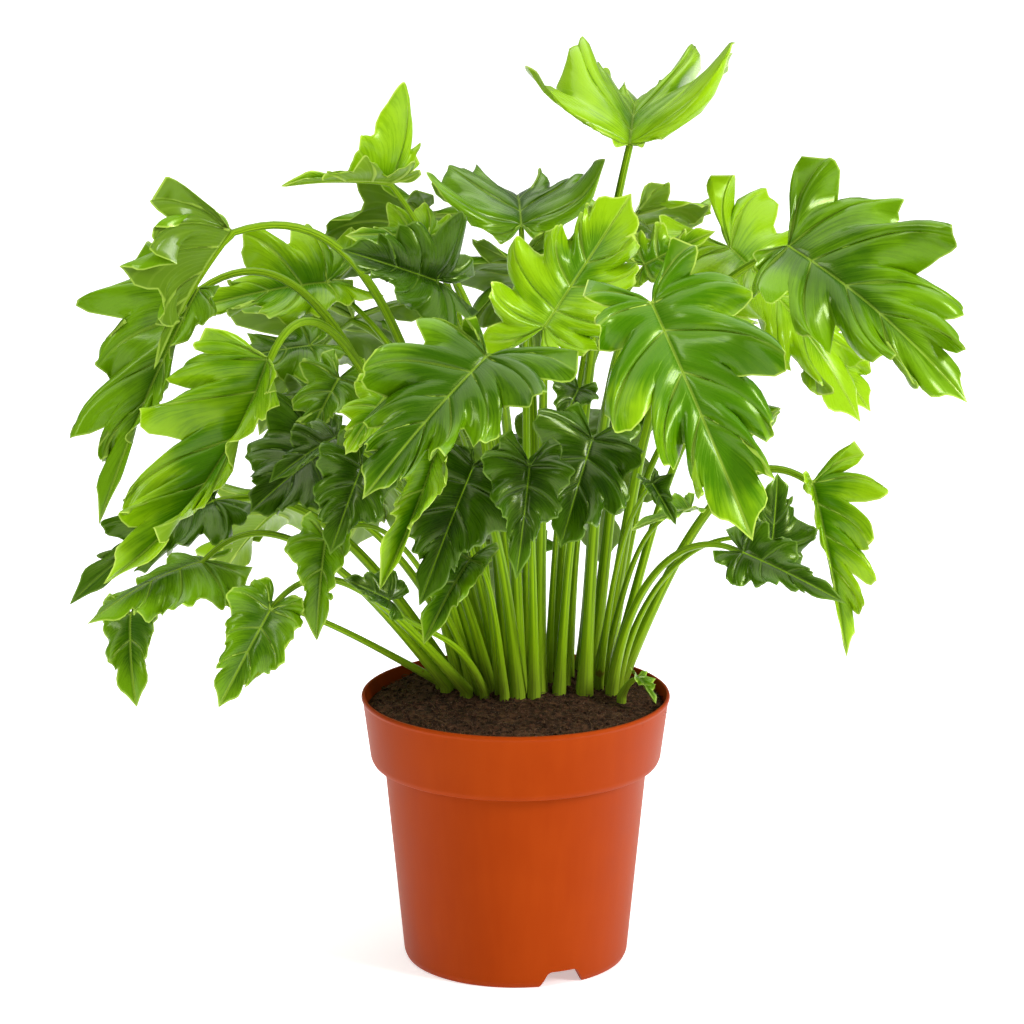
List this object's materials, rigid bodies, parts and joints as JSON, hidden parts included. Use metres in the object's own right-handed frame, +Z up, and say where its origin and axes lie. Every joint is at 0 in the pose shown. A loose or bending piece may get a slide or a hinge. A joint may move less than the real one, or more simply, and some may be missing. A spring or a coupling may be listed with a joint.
{
  "type": "potted houseplant",
  "caption": "Leafy houseplant with glossy lobed leaves on arching green stalks, growing in soil in a tapered terracotta-coloured plastic nursery pot.",
  "frame": {"origin": "centre of the model's outer box, on the surface that the foot ring of the pot stands on; the pot's axis is the Z axis", "axes": "+Z up along the pot's axis, -Y towards the side that the picture shows, +X to the right as the picture shows it"},
  "size_m": [0.4876, 0.3812, 0.5075],
  "materials": {
    "pot_plastic": "satin, injection-moulded terracotta-coloured plastic",
    "peat_soil": "matt, crumbly dark brown peat with fine fibres",
    "leaf_lime": "glossy young leaf, bright yellow-green",
    "leaf_green": "glossy full-grown leaf, mid green",
    "leaf_dark": "glossy older leaf, deep green"
  },
  "bodies": {
    "root": {"pot": "pot_plastic", "soil": "peat_soil", "leaf_crown_right": "leaf_lime", "leaf_crown_left": "leaf_lime", "leaf_top_middle": "leaf_green", "leaf_top_back_left": "leaf_lime", "leaf_top_back_right": "leaf_lime", "leaf_left_high": "leaf_green", "leaf_left_large": "leaf_green", "leaf_left_bright": "leaf_lime", "leaf_left_behind": "leaf_lime", "leaf_left_behind_low": "leaf_green", "leaf_left_shade": "leaf_dark", "leaf_left_front_bright": "leaf_lime", "leaf_left_inner": "leaf_green", "leaf_left_inner_back": "leaf_dark", "leaf_left_round": "leaf_dark", "leaf_left_pointed": "leaf_dark", "leaf_left_front_dark": "leaf_dark", "leaf_left_low_dark": "leaf_dark", "leaf_left_low": "leaf_green", "leaf_left_low_heart": "leaf_green", "leaf_low_left": "leaf_green", "leaf_low_left_narrow": "leaf_green", "leaf_low_left_dark": "leaf_dark", "leaf_middle_large": "leaf_green", "leaf_middle_bright": "leaf_lime", "leaf_front_dark_left": "leaf_dark", "leaf_front_dark_middle": "leaf_dark", "leaf_front_dark_right": "leaf_dark", "leaf_front_strip": "leaf_lime", "leaf_front_small": "leaf_green", "leaf_inner_small": "leaf_dark", "leaf_right_large": "leaf_green", "leaf_right_middle_large": "leaf_lime", "leaf_right_behind": "leaf_lime", "leaf_right_far": "leaf_lime", "leaf_right_hanging": "leaf_lime", "leaf_right_inner_strip": "leaf_lime", "leaf_right_inner_dark": "leaf_dark", "leaf_right_inner_pale": "leaf_green", "leaf_right_low_dark": "leaf_dark", "leaf_right_low_back": "leaf_dark", "leaf_right_soil": "leaf_green", "leaf_back_right": "leaf_lime", "leaf_back_left": "leaf_green", "leaf_back_middle": "leaf_green", "leaf_back_low_left": "leaf_green", "leaf_back_low_middle": "leaf_dark", "leaf_back_low_right": "leaf_green", "leaf_back_small_left": "leaf_lime", "leaf_back_small_middle": "leaf_dark", "leaf_back_top_right": "leaf_lime", "leaf_back_top_left": "leaf_green"}
  },
  "joints": []
}
